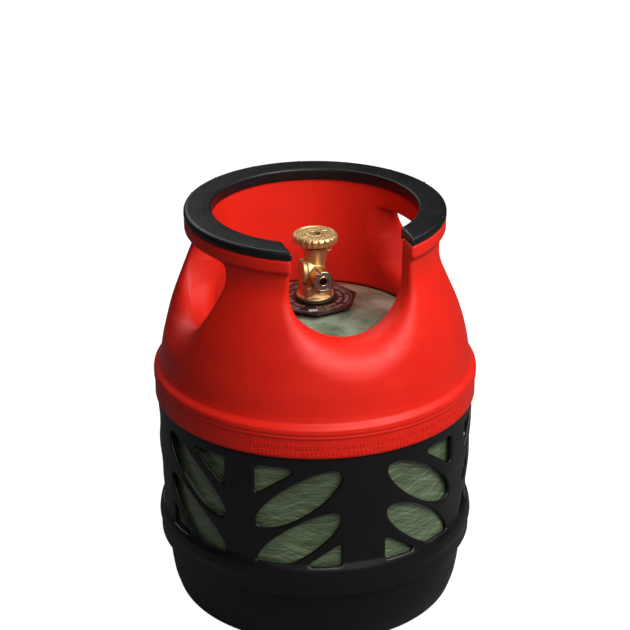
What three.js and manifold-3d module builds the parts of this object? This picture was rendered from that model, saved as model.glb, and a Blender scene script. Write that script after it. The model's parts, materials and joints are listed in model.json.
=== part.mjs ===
// A composite gas bottle: a fibre-wrapped pressure vessel in a two-part plastic casing, with a
// brass handwheel valve. Millimetres, +Z up, the floor at z = 0, the valve outlet facing -Y.
import * as THREE from 'three';
import { mergeVertices } from 'three/addons/utils/BufferGeometryUtils.js';
import Module from 'manifold-3d';

const wasm = await Module();
wasm.setup();

// ---------------------------------------------------------------- driving dimensions
const HEIGHT = 395; // floor to the top of the grip
const GAP = 0.3; // clearance between touching pieces
const LARGE_STEPS = 48; // facets round the casings
const VESSEL_STEPS = 36; // facets round the vessel and the liner
const SMALL_STEPS = 20; // facets round the valve pieces

const VESSEL_RADIUS = 143;
const VESSEL_BOTTOM = 84; // lower tangent line of the cylinder
const VESSEL_TOP = 224; // upper tangent line
const HEAD_HEIGHT = 72; // 2:1 elliptical heads
const WRAP = 4; // fibre wrap thickness
const LINER_WALL = 4;

const CASING_WALL = 3.5;
const SKIRT_BOTTOM = 209; // lower edge of the upper casing
const SKIRT_RADIUS = 152.5;
const BEAD_RADIUS = 153.5; // bumper bead round the upper casing
const WELL_RADIUS = 98; // the open well round the valve
const WELL_BOTTOM = 278;
const BAND_RADIUS = 121.3; // band under the grip
const GRIP_RADIUS = 121.5;
const GRIP_HEIGHT = 8;
const CASING_TOP = HEIGHT - GRIP_HEIGHT - GAP;

const OPENING_CENTRE = 350; // height at which the openings' rounded lower ends begin
const GAP_HALF = 54.5; // half width of the gap at the front
const GAP_LIP = 304; // lowest point of the gap at the well
const HAND_HALF = 50.5; // half width of the two hand holes
const HAND_LIP = 294;
const HAND_TOP = 371; // upper edge of the hand holes
const HAND_CORNER = 9;
const SCOOP_DROP = 24; // how far an opening's floor falls to the outside
const SCOOP_REACH = 44; // radial length over which it falls

const BASKET_RADIUS = 149.9;
const BASKET_TOP = 226;
const WINDOW_TOP = 197.5;
const WINDOW_FLOOR = 97;
const GROUP_HALF = 15.7; // half angle, degrees, of a group of windows
const WINDOW_GROUPS = [ // centre angles, degrees, of the groups in each quarter
  { centre: 24.1, mirror: -1 }, { centre: 67.3, mirror: 1 },
];
const LEAF_HEIGHTS = [164.5, 121]; // middles of a group's two leaf windows
const LEAF_TILT = 36; // degrees
const LEAF_HALF_WIDTH = 15.6;
const HEAD_CORNER = 168; // lowest point of the corner window over the leaves
const FOOT_CORNER = 119; // highest point of the corner window under them

const VALVE_SEAT = 322; // height of the valve seat
const OUTLET_AXIS = 327.5;
const OUTLET_RADIUS = 9.6;
const OUTLET_REACH = 26; // axis to outlet face
const RELIEF_AXIS = 329.8;
const RELIEF_RADIUS = 12;
const RELIEF_FACE = 9.9; // axis to the relief boss face
const WHEEL_BOTTOM = 358;
const WHEEL_RADIUS = 21.2;
const WHEEL_HEIGHT = 8.5;
const WHEEL_LOBES = 20;
const LOBE_DEPTH = 1.6;
const SHAFT_RADIUS = 3.4;

// ---------------------------------------------------------------- materials
const plastic = (color, roughness) => new THREE.MeshStandardMaterial({ color, roughness, metalness: 0 });
const metal = (color, roughness) => new THREE.MeshStandardMaterial({ color, roughness, metalness: 1 });
const red = plastic(0xd01a20, 0.38);
const black = plastic(0x161617, 0.45);
const wrapGreen = plastic(0x6f8464, 0.35);
const linerWhite = plastic(0xd8d8d0, 0.5);
const rubberBlack = plastic(0x1c1c1c, 0.8);
const sealGrey = plastic(0x6b6a70, 0.7);
const white = plastic(0xe8e8e4, 0.5);
const brass = metal(0xc09a62, 0.32);
const steel = metal(0xb5b7ba, 0.35);
const aluminium = metal(0xc4c6c8, 0.4);

// ---------------------------------------------------------------- solids
function solid(geometry) {
  const bare = geometry.clone();
  bare.deleteAttribute('normal');
  bare.deleteAttribute('uv');
  const merged = mergeVertices(bare, 1e-4);
  const index = merged.index.array;
  const kept = [];
  for (let i = 0; i < index.length; i += 3) {
    const [a, b, c] = [index[i], index[i + 1], index[i + 2]];
    if (a !== b && b !== c && c !== a) kept.push(a, b, c);
  }
  const mesh = new wasm.Mesh({
    numProp: 3,
    vertProperties: new Float32Array(merged.attributes.position.array),
    triVerts: new Uint32Array(kept),
  });
  const made = new wasm.Manifold(mesh);
  if (made.volume() > 0) return made;
  for (let i = 0; i < kept.length; i += 3) [kept[i], kept[i + 1]] = [kept[i + 1], kept[i]];
  mesh.triVerts = new Uint32Array(kept);
  return new wasm.Manifold(mesh);
}

function geometryOf(shape) {
  const mesh = shape.getMesh();
  const geometry = new THREE.BufferGeometry();
  geometry.setAttribute('position', new THREE.BufferAttribute(mesh.vertProperties, 3));
  geometry.setIndex(new THREE.BufferAttribute(mesh.triVerts, 1));
  geometry.computeVertexNormals();
  return geometry;
}

// A solid of revolution about Z from [radius, height] points, closed on itself or on the axis.
function turned(points, steps) {
  const closed = points[0][0] > 0 || points[points.length - 1][0] > 0;
  const profile = points.map(([r, z]) => new THREE.Vector2(r, z));
  if (closed) profile.push(profile[0].clone());
  return solid(new THREE.LatheGeometry(profile, steps).rotateX(Math.PI / 2));
}

function rod(radius, bottom, top, steps = SMALL_STEPS) {
  return turned([[0, bottom], [radius, bottom], [radius, top], [0, top]], steps);
}

function tube(outer, inner, bottom, top, steps = SMALL_STEPS) {
  return turned([[inner, bottom], [outer, bottom], [outer, top], [inner, top]], steps);
}

function block(width, depth, bottom, top) {
  const geometry = new THREE.BoxGeometry(width, depth, top - bottom);
  return solid(geometry.translate(0, 0, (top + bottom) / 2));
}

// A turned piece laid along -Y or -X: its own z becomes the distance from the bottle's axis.
const towardsFront = (shape, height) => shape.rotate([90, 0, 0]).translate([0, 0, height]);
const towardsLeft = (shape, height) => shape.rotate([0, -90, 0]).translate([0, 0, height]);

// ---------------------------------------------------------------- vessel
const headHeight = (radius, grow) =>
  (HEAD_HEIGHT + grow) * Math.sqrt(1 - (radius / (VESSEL_RADIUS + grow)) ** 2);

// Half of the vessel's outline, grown by `grow`, from the lower pole to the radius `neck` at the top.
function vesselOutline(grow, neck) {
  const R = VESSEL_RADIUS + grow;
  const H = HEAD_HEIGHT + grow;
  const steps = 5;
  const points = [];
  for (let i = 0; i <= steps; i++) {
    const a = (i / steps) * Math.PI / 2;
    points.push([R * Math.sin(a), VESSEL_BOTTOM - H * Math.cos(a)]);
  }
  for (let i = steps; i >= 0; i--) {
    const a = (i / steps) * Math.PI / 2;
    if (R * Math.sin(a) > neck) points.push([R * Math.sin(a), VESSEL_TOP + H * Math.cos(a)]);
  }
  points.push([neck, VESSEL_TOP + headHeight(neck, grow)]);
  return points;
}

const BOSS_NECK = 20.5;
const BOSS_BORE = 13.1;
const BOSS_FLANGE = 42;
const FLANGE_THICK = 5;
const BOSS_SPIGOT = 17;
const BOSS_BOTTOM = 268;
const FACET_SAG = 1.4; // keeps the flange under the wrap's facets
const LINER_HOLE = BOSS_SPIGOT + GAP;
const RING_HEIGHT = 275.4; // the O-ring's height on the boss spigot

const flangeUnderside = () => VESSEL_TOP + headHeight(BOSS_FLANGE, -WRAP) - FLANGE_THICK - FACET_SAG;

function compositeShell() {
  const outer = vesselOutline(0, BOSS_NECK + GAP);
  const inner = vesselOutline(-WRAP, BOSS_NECK + GAP).reverse();
  return turned([...outer, ...inner], VESSEL_STEPS);
}

// The liner follows the wrap and dips under the boss flange.
function liner() {
  const outside = -WRAP - FACET_SAG;
  const inside = outside - LINER_WALL;
  const pocket = BOSS_FLANGE + GAP;
  const under = flangeUnderside() - GAP;
  const outer = vesselOutline(outside, pocket);
  const inner = vesselOutline(inside, pocket + LINER_WALL).reverse();
  const dip = under - LINER_WALL;
  const neck = [[pocket, under], [LINER_HOLE, under], [LINER_HOLE, dip], [pocket + LINER_WALL, dip]];
  return turned([...outer, ...neck, ...inner], VESSEL_STEPS);
}

function neckBoss() {
  const outside = -WRAP - GAP;
  const points = [[BOSS_BORE, BOSS_BOTTOM], [BOSS_SPIGOT, BOSS_BOTTOM]];
  points.push([BOSS_SPIGOT, RING_HEIGHT - 1.4], [BOSS_SPIGOT - 2, RING_HEIGHT - 1.4]);
  points.push([BOSS_SPIGOT - 2, RING_HEIGHT + 1.4], [BOSS_SPIGOT, RING_HEIGHT + 1.4]);
  const under = flangeUnderside();
  points.push([BOSS_SPIGOT, under], [BOSS_FLANGE, under]);
  for (const radius of [BOSS_FLANGE, 36, 28, BOSS_NECK]) {
    points.push([radius, VESSEL_TOP + headHeight(radius, outside) - FACET_SAG]);
  }
  points.push([BOSS_NECK, PLATE_BOTTOM - GAP], [BOSS_BORE, PLATE_BOTTOM - GAP]);
  return turned(points, VESSEL_STEPS);
}

function ring(major, minor, height, steps = SMALL_STEPS) {
  const geometry = new THREE.TorusGeometry(major, minor, 6, steps);
  return solid(geometry.translate(0, 0, height));
}

// ---------------------------------------------------------------- upper casing
// Outline of the upper casing's outside, from the skirt's lower edge to the band's top edge.
const casingOutside = [
  [SKIRT_RADIUS, SKIRT_BOTTOM], [SKIRT_RADIUS, 227.5], [BEAD_RADIUS, 230], [BEAD_RADIUS, 235],
  [151.6, 241], [146.8, 249], [142.8, 271], [134.8, 303], [125.3, 327], [116.8, 356], [116.8, 369],
  [BAND_RADIUS, 374], [BAND_RADIUS, CASING_TOP],
];

// An opening through the collar towards -Y, whose floor falls and widens to the outside.
function scoop(width, lip, top, corner, grow) {
  const radii = [60, 96, 112, 124, 134, 144, 170];
  const sections = radii.map((radius) => {
    const along = Math.max(0, (radius - 96) / SCOOP_REACH);
    const fall = Math.min(along, 1.25) ** 2.2;
    const half = width + grow + 4 * fall;
    const lowest = lip - SCOOP_DROP * fall - grow;
    const centre = OPENING_CENTRE - SCOOP_DROP * fall;
    const points = [];
    for (let i = 0; i <= 10; i++) {
      const a = Math.PI + (i / 10) * Math.PI;
      points.push([half * Math.cos(a), centre + (centre - lowest) * Math.sin(a)]);
    }
    for (const side of [1, -1]) {
      for (let i = 0; i <= 2; i++) {
        const a = (side > 0 ? i : i + 2) * (Math.PI / 4);
        const x = side * (half - corner) + corner * Math.cos(a);
        points.push([x, top - corner + corner * Math.sin(a)]);
      }
    }
    return points.map(([x, z]) => new THREE.Vector3(x, -radius, z));
  });
  return loft(sections);
}

// A closed solid through matching convex sections.
function loft(sections) {
  const count = sections[0].length;
  const positions = sections.flat().flatMap((p) => [p.x, p.y, p.z]);
  const index = [];
  for (let s = 0; s + 1 < sections.length; s++) {
    for (let i = 0; i < count; i++) {
      const a = s * count + i;
      const b = s * count + ((i + 1) % count);
      index.push(a, b, b + count, a, b + count, a + count);
    }
  }
  const last = (sections.length - 1) * count;
  for (let i = 1; i + 1 < count; i++) {
    index.push(0, i + 1, i);
    index.push(last, last + i, last + i + 1);
  }
  const geometry = new THREE.BufferGeometry();
  geometry.setAttribute('position', new THREE.Float32BufferAttribute(positions, 3));
  geometry.setIndex(index);
  return solid(geometry);
}

// The three openings: the front one runs out through the grip, the two hand holes are closed on top.
function openings(grow) {
  const front = scoop(GAP_HALF, GAP_LIP, HEIGHT + 20, 1, grow);
  const hand = scoop(HAND_HALF, HAND_LIP, HAND_TOP + grow, HAND_CORNER + grow, grow);
  return front.add(hand.rotate([0, 0, 90])).add(hand.rotate([0, 0, -90]));
}

function upperCasing() {
  const wall = CASING_WALL;
  const outside = turned([
    ...casingOutside, [WELL_RADIUS, CASING_TOP], [WELL_RADIUS - 2, WELL_BOTTOM],
    [WELL_RADIUS + wall - 2, WELL_BOTTOM], [SKIRT_RADIUS - wall, SKIRT_BOTTOM],
  ], LARGE_STEPS);
  const within = casingOutside.map(([r, z]) => [r - wall, z]);
  within[0][1] -= 20;
  within[within.length - 2][1] += 1;
  within[within.length - 1][1] = CASING_TOP - wall;
  const cavity = turned([
    ...within, [WELL_RADIUS + wall, CASING_TOP - wall], [WELL_RADIUS + wall - 2, WELL_BOTTOM - 1],
    [WELL_RADIUS + wall - 2, SKIRT_BOTTOM - 20],
  ], LARGE_STEPS);
  return outside.subtract(openings(0)).subtract(cavity.subtract(openings(wall)));
}

function gripRing() {
  const top = HEIGHT;
  const bottom = HEIGHT - GRIP_HEIGHT;
  const body = turned([
    [WELL_RADIUS + 1, bottom], [GRIP_RADIUS, bottom], [GRIP_RADIUS, top - 4], [GRIP_RADIUS - 1.2, top - 1.4],
    [GRIP_RADIUS - 4, top], [WELL_RADIUS + 3.5, top], [WELL_RADIUS + 0.8, top - 1], [WELL_RADIUS, top - 3.5],
    [WELL_RADIUS, bottom + 1],
  ], LARGE_STEPS);
  return body.subtract(scoop(GAP_HALF, GAP_LIP, HEIGHT + 20, 1, 0));
}

// ---------------------------------------------------------------- lower basket
const basketOutside = [
  [148.5, BASKET_TOP], [148.5, 208.4], [BASKET_RADIUS, 208.4], [BASKET_RADIUS, 160], [147, 114],
  [146.6, 102], [151, 89], [151.3, 83], [150, 77], [150, 65],
];
const basketInside = [
  [146.3, 65], [146.3, 88], [143.7, 98], [143.7, 114], [146.2, 160], [146.2, 204], [145, 208],
  [145, BASKET_TOP],
];

// Maps a flat outline, x in degrees round the bottle and y in height, to a cutter through the wall.
function windowCutter(outline, turn, mirror) {
  const inner = 135;
  const outer = 160;
  const geometry = new THREE.ExtrudeGeometry(new THREE.Shape(outline), {
    depth: outer - inner, bevelEnabled: false, steps: 1,
  });
  const position = geometry.attributes.position;
  for (let i = 0; i < position.count; i++) {
    const angle = THREE.MathUtils.degToRad(turn + mirror * position.getX(i));
    const radius = inner + position.getZ(i);
    position.setXYZ(i, radius * Math.sin(angle), -radius * Math.cos(angle), position.getY(i));
  }
  return solid(geometry);
}

// A leaf-shaped window: a tilted oval, cut off level with the foot of the windows.
function leafOutline(height) {
  const tilt = THREE.MathUtils.degToRad(LEAF_TILT);
  const perDegree = THREE.MathUtils.degToRad(BASKET_RADIUS);
  const halfLength = (GROUP_HALF - 0.5) * perDegree / Math.cos(tilt);
  const steps = 14;
  const points = [];
  for (let i = 0; i < steps; i++) {
    const a = (i / steps) * Math.PI * 2;
    const u = halfLength * Math.cos(a);
    const v = LEAF_HALF_WIDTH * Math.sin(a);
    const x = (u * Math.cos(tilt) - v * Math.sin(tilt)) / perDegree;
    const y = height + u * Math.sin(tilt) + v * Math.cos(tilt);
    points.push(new THREE.Vector2(x, Math.max(y, WINDOW_FLOOR)));
  }
  return points.filter((p, i) => !p.equals(points[(i + steps - 1) % steps]));
}

// The windows of one group: the leaves, and a corner window over and under them.
function windowOutlines() {
  const corners = (points) => points.map(([x, y]) => new THREE.Vector2(x, y));
  const edge = GROUP_HALF;
  const head = corners([[-edge, WINDOW_TOP], [-edge, HEAD_CORNER], [-9, 178], [0, WINDOW_TOP]]);
  const foot = corners([[edge, FOOT_CORNER], [8, 108], [3, WINDOW_FLOOR], [edge, WINDOW_FLOOR]]);
  return [...LEAF_HEIGHTS.map(leafOutline), head, foot];
}

function lowerBasket() {
  let shape = turned([...basketOutside, ...basketInside], LARGE_STEPS);
  for (const { centre, mirror } of WINDOW_GROUPS) {
    for (const outline of windowOutlines()) {
      for (const side of [0, 180]) {
        shape = shape.subtract(windowCutter(outline, side + centre, mirror));
        shape = shape.subtract(windowCutter(outline, side + 180 - centre, -mirror));
      }
    }
  }
  return shape;
}

// ---------------------------------------------------------------- base
function baseCasing() {
  return turned([
    [96, 0], [122, 0], [130, 4], [136, 13], [141.2, 37], [141.8, 62], [145.9, 66], [145.9, 76], [143.1, 76],
    [143.1, 68], [138.6, 62], [137.7, 38], [132.8, 15], [121, CASING_WALL], [99.5, CASING_WALL],
    [99.5, 31], [96, 29.5],
  ], LARGE_STEPS);
}

// ---------------------------------------------------------------- plate on the dome
const PLATE_BOTTOM = 299.6;
const PLATE_TOP = 301.4;
const PLATE_CORNER = 41; // axis to a corner
const PLATE_SIDES = 7;
const PLATE_TURN = -14.2; // degrees from the front to the first corner
const WASHER_TOP = 303.3;
const FLANGE_BOTTOM = WASHER_TOP + GAP;
const STEM_RADIUS = 12.8;

function domePlate() {
  const outline = new THREE.CylinderGeometry(PLATE_CORNER, PLATE_CORNER, PLATE_TOP - PLATE_BOTTOM, PLATE_SIDES);
  const plate = solid(outline.rotateX(Math.PI / 2).translate(0, 0, (PLATE_TOP + PLATE_BOTTOM) / 2));
  return plate.rotate([0, 0, PLATE_TURN]).subtract(rod(BOSS_BORE, PLATE_BOTTOM - 5, PLATE_TOP + 5));
}

function plateLabel() {
  return block(8, 3.6, PLATE_TOP + GAP, PLATE_TOP + GAP + 0.4).rotate([0, 0, -9.5]).translate([-12, -29.8, 0]);
}

// ---------------------------------------------------------------- valve
const CHAMBER_RADIUS = 5;
const GLAND_THREAD = 6.7;
const BODY_TOP = 353.5;
const SEAL_LUG = 349.6; // height of the ring for a sealing wire
const CHANNEL_OFFSET = 7.2; // relief passage, beside the inlet bore
const INLET_RADIUS = 5;
const LUG_RADIUS = 3.1;
const GLAND_RINGS = [344.6, 349]; // heights of the two O-rings in the gland nut

function valveBody() {
  const flange = turned([
    [0, FLANGE_BOTTOM - 5], [17.6, FLANGE_BOTTOM - 5], [17.6, 305.8], [15.4, 307.2], [0, 307.2],
  ].map(([r, z]) => [r, Math.max(z, FLANGE_BOTTOM)]), SMALL_STEPS);
  const square = block(26, 26, 306, 317.6).intersect(rod(17.2, 300, 320, 48));
  const neck = turned([
    [0, 310], [10, 310], [10, 318], [9.3, 321], [9.2, 336], [11.4, 349.5], [11.4, BODY_TOP], [0, BODY_TOP],
  ], SMALL_STEPS);
  const stem = rod(STEM_RADIUS, BOSS_BOTTOM + 2, FLANGE_BOTTOM + 1);
  const outlet = towardsFront(turned([
    [0, 0], [OUTLET_RADIUS, 0], [OUTLET_RADIUS, OUTLET_REACH - 0.6], [OUTLET_RADIUS - 0.6, OUTLET_REACH],
    [0, OUTLET_REACH],
  ], SMALL_STEPS), OUTLET_AXIS);
  const relief = towardsLeft(rod(RELIEF_RADIUS, 0, RELIEF_FACE), RELIEF_AXIS);
  const lug = towardsFront(rod(LUG_RADIUS, -1.5, 1.5, 12), SEAL_LUG).translate([12.9, 0, 0])
    .subtract(towardsFront(rod(1.4, -3, 3, 12), SEAL_LUG).translate([13.4, 0, 0]));
  const solidBody = flange.add(square).add(neck).add(stem).add(outlet).add(relief).add(lug);

  const inlet = rod(INLET_RADIUS, BOSS_BOTTOM, VALVE_SEAT - 3);
  const orifice = rod(3, VALVE_SEAT - 4, VALVE_SEAT + 1);
  const chamber = rod(CHAMBER_RADIUS, VALVE_SEAT, 337);
  const threaded = rod(GLAND_THREAD + GAP, 336.5, BODY_TOP + 1);
  const outletBore = towardsFront(rod(3.6, 3.8, OUTLET_REACH + 1, 16), OUTLET_AXIS);
  const sealGroove = towardsFront(tube(8.7, 5.1, OUTLET_REACH - 2.8, OUTLET_REACH + 1), OUTLET_AXIS);
  const channel = rod(0.9, BOSS_BOTTOM, RELIEF_AXIS, 8).translate([-CHANNEL_OFFSET, 0, 0]);
  const reliefSeat = towardsLeft(rod(1.6, CHANNEL_OFFSET - 0.6, RELIEF_FACE, 12), RELIEF_AXIS);
  const reliefBore = towardsLeft(rod(4.2, 8.3, RELIEF_FACE + 1, 16), RELIEF_AXIS);
  return [inlet, orifice, chamber, threaded, outletBore, sealGroove, channel, reliefSeat, reliefBore]
    .reduce((shape, cut) => shape.subtract(cut), solidBody);
}

const outletSeal = () =>
  towardsFront(tube(8.4, 5.4, OUTLET_REACH - 2.5, OUTLET_REACH - 0.2), OUTLET_AXIS);

// Screws into the top of the body, holds the spindle down and carries its two O-rings.
function glandNut() {
  const outer = turned([
    [0, 341.4], [GLAND_THREAD, 341.4], [GLAND_THREAD, BODY_TOP + GAP], [9, BODY_TOP + GAP],
    [9, 357.2], [0, 357.2],
  ], SMALL_STEPS);
  let shape = outer.subtract(rod(SHAFT_RADIUS + GAP, 340, 360));
  for (const height of GLAND_RINGS) {
    shape = shape.subtract(rod(5.4, height - 1.1, height + 1.1));
  }
  return shape;
}

const SPINDLE_END = 331.6;
const TANG = 4.6; // square across the flats
const WHEEL_FLOOR = 361.8; // floor of the wheel's recess, under its nut

function spindle() {
  const turnedPart = turned([
    [0, SPINDLE_END], [2.6, SPINDLE_END], [2.6, 338.2], [5.6, 338.2], [5.6, 341], [SHAFT_RADIUS, 341],
    [SHAFT_RADIUS, 357.7], [0, 357.7],
  ], SMALL_STEPS);
  const stud = rod(1.7, 357, 365.4, 12);
  return turnedPart.add(block(TANG, TANG, 357, WHEEL_FLOOR - GAP)).add(stud);
}

// Slides in the chamber on the spindle's screw and carries the seat disc.
function seatCarrier() {
  const outer = turned([
    [0, VALVE_SEAT + 2.2], [4.6, VALVE_SEAT + 2.2], [4.6, 334.4], [0, 334.4],
  ], SMALL_STEPS);
  return outer.subtract(rod(2.9, 328.4, 336));
}

const seatDisc = () => rod(4.4, VALVE_SEAT + GAP, VALVE_SEAT + 1.9);

// ---------------------------------------------------------------- handwheel
function wheelOutline() {
  const points = [];
  const perLobe = 4;
  for (let i = 0; i < WHEEL_LOBES * perLobe; i++) {
    const phase = (i % perLobe) / perLobe;
    const angle = (i / (WHEEL_LOBES * perLobe)) * Math.PI * 2;
    const radius = WHEEL_RADIUS - (phase === 0 ? LOBE_DEPTH : 0) - (phase === 0.5 ? 0 : 0.15);
    points.push(new THREE.Vector2(radius * Math.cos(angle), radius * Math.sin(angle)));
  }
  return new THREE.Shape(points);
}

function handwheel() {
  const disc = new THREE.ExtrudeGeometry(wheelOutline(), {
    depth: WHEEL_HEIGHT, bevelEnabled: false, steps: 1,
  });
  const rim = solid(disc.translate(0, 0, WHEEL_BOTTOM));
  const top = WHEEL_BOTTOM + WHEEL_HEIGHT;
  const envelope = turned([
    [0, WHEEL_BOTTOM], [20, WHEEL_BOTTOM], [22, WHEEL_BOTTOM + 1.2], [22, top - 2], [20.4, top - 0.5],
    [18.6, top], [17.4, top - 0.8], [0, top - 0.8],
  ], 48);
  return rim.intersect(envelope)
    .subtract(rod(5.2, WHEEL_FLOOR, top + 5))
    .subtract(block(TANG + 2 * GAP, TANG + 2 * GAP, WHEEL_BOTTOM - 5, top));
}

function handwheelNut() {
  const nut = solid(new THREE.CylinderGeometry(4.2, 4.2, 2.6, 6).rotateX(Math.PI / 2)
    .translate(0, 0, WHEEL_FLOOR + GAP + 1.3));
  return nut.subtract(rod(1.7 + GAP, WHEEL_FLOOR - 5, WHEEL_FLOOR + 10, 12));
}

// ---------------------------------------------------------------- relief valve
const CAP_FACE = 14.4;

const reliefSeal = () => towardsLeft(rod(2.6, 8.6, 9.2, 12), RELIEF_AXIS);
const reliefPoppet = () => towardsLeft(rod(3.8, 9.5, 10.4, 16), RELIEF_AXIS);

// The spring, as a plain sleeve of its outer size.
const reliefSpring = () => towardsLeft(tube(3, 2.2, 10.7, 12.5, 12), RELIEF_AXIS);

function reliefCap() {
  let shape = turned([
    [0, RELIEF_FACE + GAP], [RELIEF_RADIUS - 0.4, RELIEF_FACE + GAP], [RELIEF_RADIUS - 0.4, CAP_FACE - 0.8],
    [RELIEF_RADIUS - 1.2, CAP_FACE], [0, CAP_FACE],
  ], SMALL_STEPS);
  shape = shape.subtract(rod(4.2, RELIEF_FACE, CAP_FACE - 1.2, 16));
  const vent = rod(0.7, CAP_FACE - 2, CAP_FACE + 1, 8);
  for (const angle of [0, 120, 240]) {
    const turn = THREE.MathUtils.degToRad(angle);
    shape = shape.subtract(vent.translate([2.6 * Math.cos(turn), 2.6 * Math.sin(turn), 0]));
  }
  return towardsLeft(shape, RELIEF_AXIS);
}

// ---------------------------------------------------------------- assembly
const bottle = new THREE.Group();

function add(name, shape, material) {
  const mesh = new THREE.Mesh(geometryOf(shape), material.clone());
  mesh.name = name;
  bottle.add(mesh);
}

add('composite_shell', compositeShell(), wrapGreen);
add('liner', liner(), linerWhite);
add('neck_boss', neckBoss(), aluminium);
add('boss_o_ring', ring(BOSS_SPIGOT - 0.9, 0.8, RING_HEIGHT, VESSEL_STEPS), rubberBlack);
add('upper_casing', upperCasing(), red);
add('grip_ring', gripRing(), black);
add('lower_basket', lowerBasket(), black);
add('base_casing', baseCasing(), black);
add('dome_plate', domePlate(), black);
add('plate_label', plateLabel(), white);
add('valve_washer', tube(18.5, BOSS_BORE, PLATE_TOP + GAP, WASHER_TOP), rubberBlack);
add('valve_body', valveBody(), brass);
add('outlet_seal', outletSeal(), sealGrey);
add('gland_nut', glandNut(), brass);
add('lower_spindle_o_ring', ring(4.5, 0.75, GLAND_RINGS[0], 16), rubberBlack);
add('upper_spindle_o_ring', ring(4.5, 0.75, GLAND_RINGS[1], 16), rubberBlack);
add('spindle', spindle(), brass);
add('seat_carrier', seatCarrier(), brass);
add('seat_disc', seatDisc(), sealGrey);
add('handwheel', handwheel(), brass);
add('handwheel_nut', handwheelNut(), steel);
add('relief_seal', reliefSeal(), rubberBlack);
add('relief_poppet', reliefPoppet(), brass);
add('relief_spring', reliefSpring(), steel);
add('relief_cap', reliefCap(), brass);

export default bottle;
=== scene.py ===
"""A composite propane tank: fibre-wrapped vessel, moulded casing, soft grip and a brass valve.

The moulded and forged shapes are implicit solids, meshed on a grid and pulled onto their surface.
Lengths inside the shape functions are millimetres; meshes are made in metres.
"""
import json
import math

import bmesh
import bpy
import numpy as np
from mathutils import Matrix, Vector


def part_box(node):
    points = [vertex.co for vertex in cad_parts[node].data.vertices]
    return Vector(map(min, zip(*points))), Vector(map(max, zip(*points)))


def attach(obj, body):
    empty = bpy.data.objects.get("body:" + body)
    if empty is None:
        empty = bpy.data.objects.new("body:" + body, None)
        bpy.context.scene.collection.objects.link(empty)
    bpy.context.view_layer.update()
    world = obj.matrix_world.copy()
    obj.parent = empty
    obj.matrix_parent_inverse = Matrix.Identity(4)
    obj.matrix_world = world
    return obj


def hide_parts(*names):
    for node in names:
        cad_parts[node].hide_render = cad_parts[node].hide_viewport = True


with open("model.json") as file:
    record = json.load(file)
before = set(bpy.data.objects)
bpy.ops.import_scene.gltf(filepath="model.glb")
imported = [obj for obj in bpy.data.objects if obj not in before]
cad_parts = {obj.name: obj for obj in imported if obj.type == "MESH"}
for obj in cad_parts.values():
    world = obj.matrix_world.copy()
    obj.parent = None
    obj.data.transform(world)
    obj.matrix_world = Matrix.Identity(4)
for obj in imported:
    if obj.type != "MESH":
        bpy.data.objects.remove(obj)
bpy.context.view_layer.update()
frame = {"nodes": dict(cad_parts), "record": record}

MM = 0.001


# ---------------------------------------------------------------- sizes from the frame
def reach(node):
    """Largest radius of a CAD node about the bottle's axis, in mm."""
    low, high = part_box(node)
    return max(high.x, -low.x) / MM


def heights(node):
    """Lowest and highest point of a CAD node, in mm."""
    low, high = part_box(node)
    return low.z / MM, high.z / MM


BEAD_RADIUS = reach("upper_casing")
SKIRT_BOTTOM, CASING_TOP = heights("upper_casing")
GRIP_RADIUS = reach("grip_ring")
GRIP_BOTTOM, TOP = heights("grip_ring")
BASKET_BOTTOM, BASKET_TOP = heights("lower_basket")
BUMPER_RADIUS = reach("lower_basket")
VESSEL_RADIUS = reach("composite_shell")
VESSEL_FOOT = heights("composite_shell")[0]
PLATE_BOTTOM, PLATE_TOP = heights("dome_plate")
WHEEL_BOTTOM, WHEEL_TOP = heights("handwheel")

# Sizes that the frame does not state.
CASING_WALL = 3.5
SKIRT_RADIUS = 152.5
WELL_RADIUS = 98.0  # at the casing's top edge
WELL_TAPER = 2 / 110  # how much narrower the well gets per mm downwards
WELL_BOTTOM = 278.0
OPENING_CENTRE = 350.0  # the openings' rounded feet begin at this height
GAP_HALF, GAP_LIP = 55.3, 304.0  # front gap: half width and lowest point
HAND_HALF, HAND_LIP, HAND_TOP, HAND_CORNER = 51.0, 292.0, 371.0, 7.0
GRIP_INSIDE = 95.8  # the grip's inner lip hangs in front of the well wall
GRIP_LIP = 3.4
VESSEL_SHOULDER = 224.0  # upper end of the vessel's straight part
VESSEL_HEAD = 72.0  # height of its domed ends
PLATE_CORNER, PLATE_TURN, PLATE_SIDES = 41.0, -14.2, 7
OUTLET_AXIS, OUTLET_RADIUS, OUTLET_REACH = 327.5, 9.6, 26.0
RELIEF_AXIS, RELIEF_RADIUS, RELIEF_FACE = 329.8, 12.0, 9.9
LUG_HEIGHT, LUG_OUT = 349.6, 12.9  # the ring for a sealing wire
BODY_TOP = 353.5
SEAT = 322.0
WHEEL_RADIUS, WHEEL_LOBES, WHEEL_FLOOR = 21.1, 20, 361.8
SPRING_FOOT = 11.8  # the spring is shown pressed together, clear of the poppet at its highest


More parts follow.
